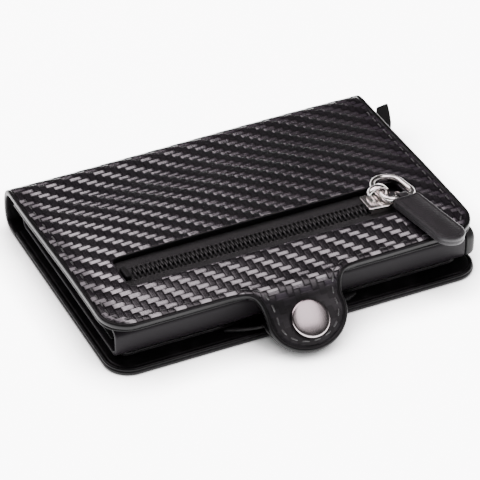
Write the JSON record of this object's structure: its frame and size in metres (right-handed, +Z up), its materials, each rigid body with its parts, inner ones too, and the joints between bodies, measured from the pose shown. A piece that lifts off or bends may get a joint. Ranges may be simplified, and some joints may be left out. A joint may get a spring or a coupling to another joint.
{
  "type": "minimalist wallet",
  "caption": "Slim pop-up card wallet: aluminium card case with an eject lever in a folding leather cover with a zipped coin pocket and a snap strap.",
  "frame": {"origin": "middle of the closed wallet's underside, on the bottom flap's outer face", "axes": "+X along the wallet from the case's open mouth to the eject lever, +Y towards the spine with the snap strap at -Y, +Z up through the zip pocket"},
  "size_m": [0.1107, 0.0838, 0.0181],
  "materials": {
    "carbon_leather": "embossed twill weave, satin coated",
    "plain_leather": "fine grain, matt",
    "lining_fabric": "woven, matt",
    "anodised_aluminium": "black anodised, fine satin",
    "black_plastic": "fine moulded texture",
    "nickel": "bright nickel plate",
    "steel": "satin",
    "zip_tape": "woven polyester",
    "zip_coil": "nylon coil",
    "soft_pad": "felt and foam, matt"
  },
  "bodies": {
    "flap": {"flap_outer": "carbon_leather", "flap_lining": "lining_fabric", "card_slot_lower": "plain_leather", "card_slot_upper": "plain_leather", "flap_tongue": "plain_leather", "snap_stud": "steel", "stud_rivet": "steel"},
    "spine": {"spine_leather": "carbon_leather"},
    "upper": {"pocket_panel": "carbon_leather", "pocket_back": "lining_fabric", "adhesive_pad": "soft_pad", "card_case": "anodised_aluminium", "end_cap": "black_plastic", "lever_pin": "steel", "card_grip_lower": "soft_pad", "card_grip_upper": "soft_pad", "zip_tape_front": "zip_tape", "zip_tape_back": "zip_tape", "zip_coil_front": "zip_coil", "zip_coil_back": "zip_coil", "zip_bottom_stop": "black_plastic", "zip_top_stop_front": "nickel", "zip_top_stop_back": "nickel"},
    "strap": {"strap_leather": "carbon_leather", "strap_lining": "lining_fabric", "snap_cap": "nickel", "snap_socket": "steel"},
    "lever": {"eject_lever": "black_plastic"},
    "slider": {"zip_slider": "nickel"},
    "ring": {"pull_ring": "nickel"},
    "pull": {"pull_leather": "plain_leather"}
  },
  "joints": [
    {"name": "spine_fold", "type": "hinge", "parent": "flap", "child": "spine", "pos_m": [0, 0.0319, 0], "axis": [-1, 0, 0], "range_deg": [0, 50]},
    {"name": "cover_fold", "type": "hinge", "parent": "spine", "child": "upper", "pos_m": [0, 0.0319, 0.0139], "axis": [-1, 0, 0], "range_deg": [0, 110]},
    {"name": "strap_lift", "type": "hinge", "parent": "upper", "child": "strap", "pos_m": [-0.0015, -0.03415, 0.0137], "axis": [-1, 0, 0], "range_deg": [0, 110]},
    {"name": "card_eject", "type": "hinge", "parent": "upper", "child": "lever", "pos_m": [0.0448, 0.0236, 0.0069], "axis": [0, 0, -1], "range_deg": [0, 35]},
    {"name": "zip_slide", "type": "slide", "parent": "upper", "child": "slider", "axis": [-1, 0, 0], "range_m": [0, 0.064]},
    {"name": "ring_swing", "type": "hinge", "parent": "slider", "child": "ring", "pos_m": [0.0323, -0.0129, 0.0164], "axis": [0.1564, -0.9877, 0], "range_deg": [0, 100]},
    {"name": "pull_swing", "type": "hinge", "parent": "ring", "child": "pull", "pos_m": [0.0372, -0.01708, 0.01603], "axis": [-0.9839, -0.1558, 0.0872], "range_deg": [0, 110]}
  ],
  "couplings": [
    {"joint": "spine_fold", "follows": "cover_fold", "ratio": 0.4545}
  ]
}
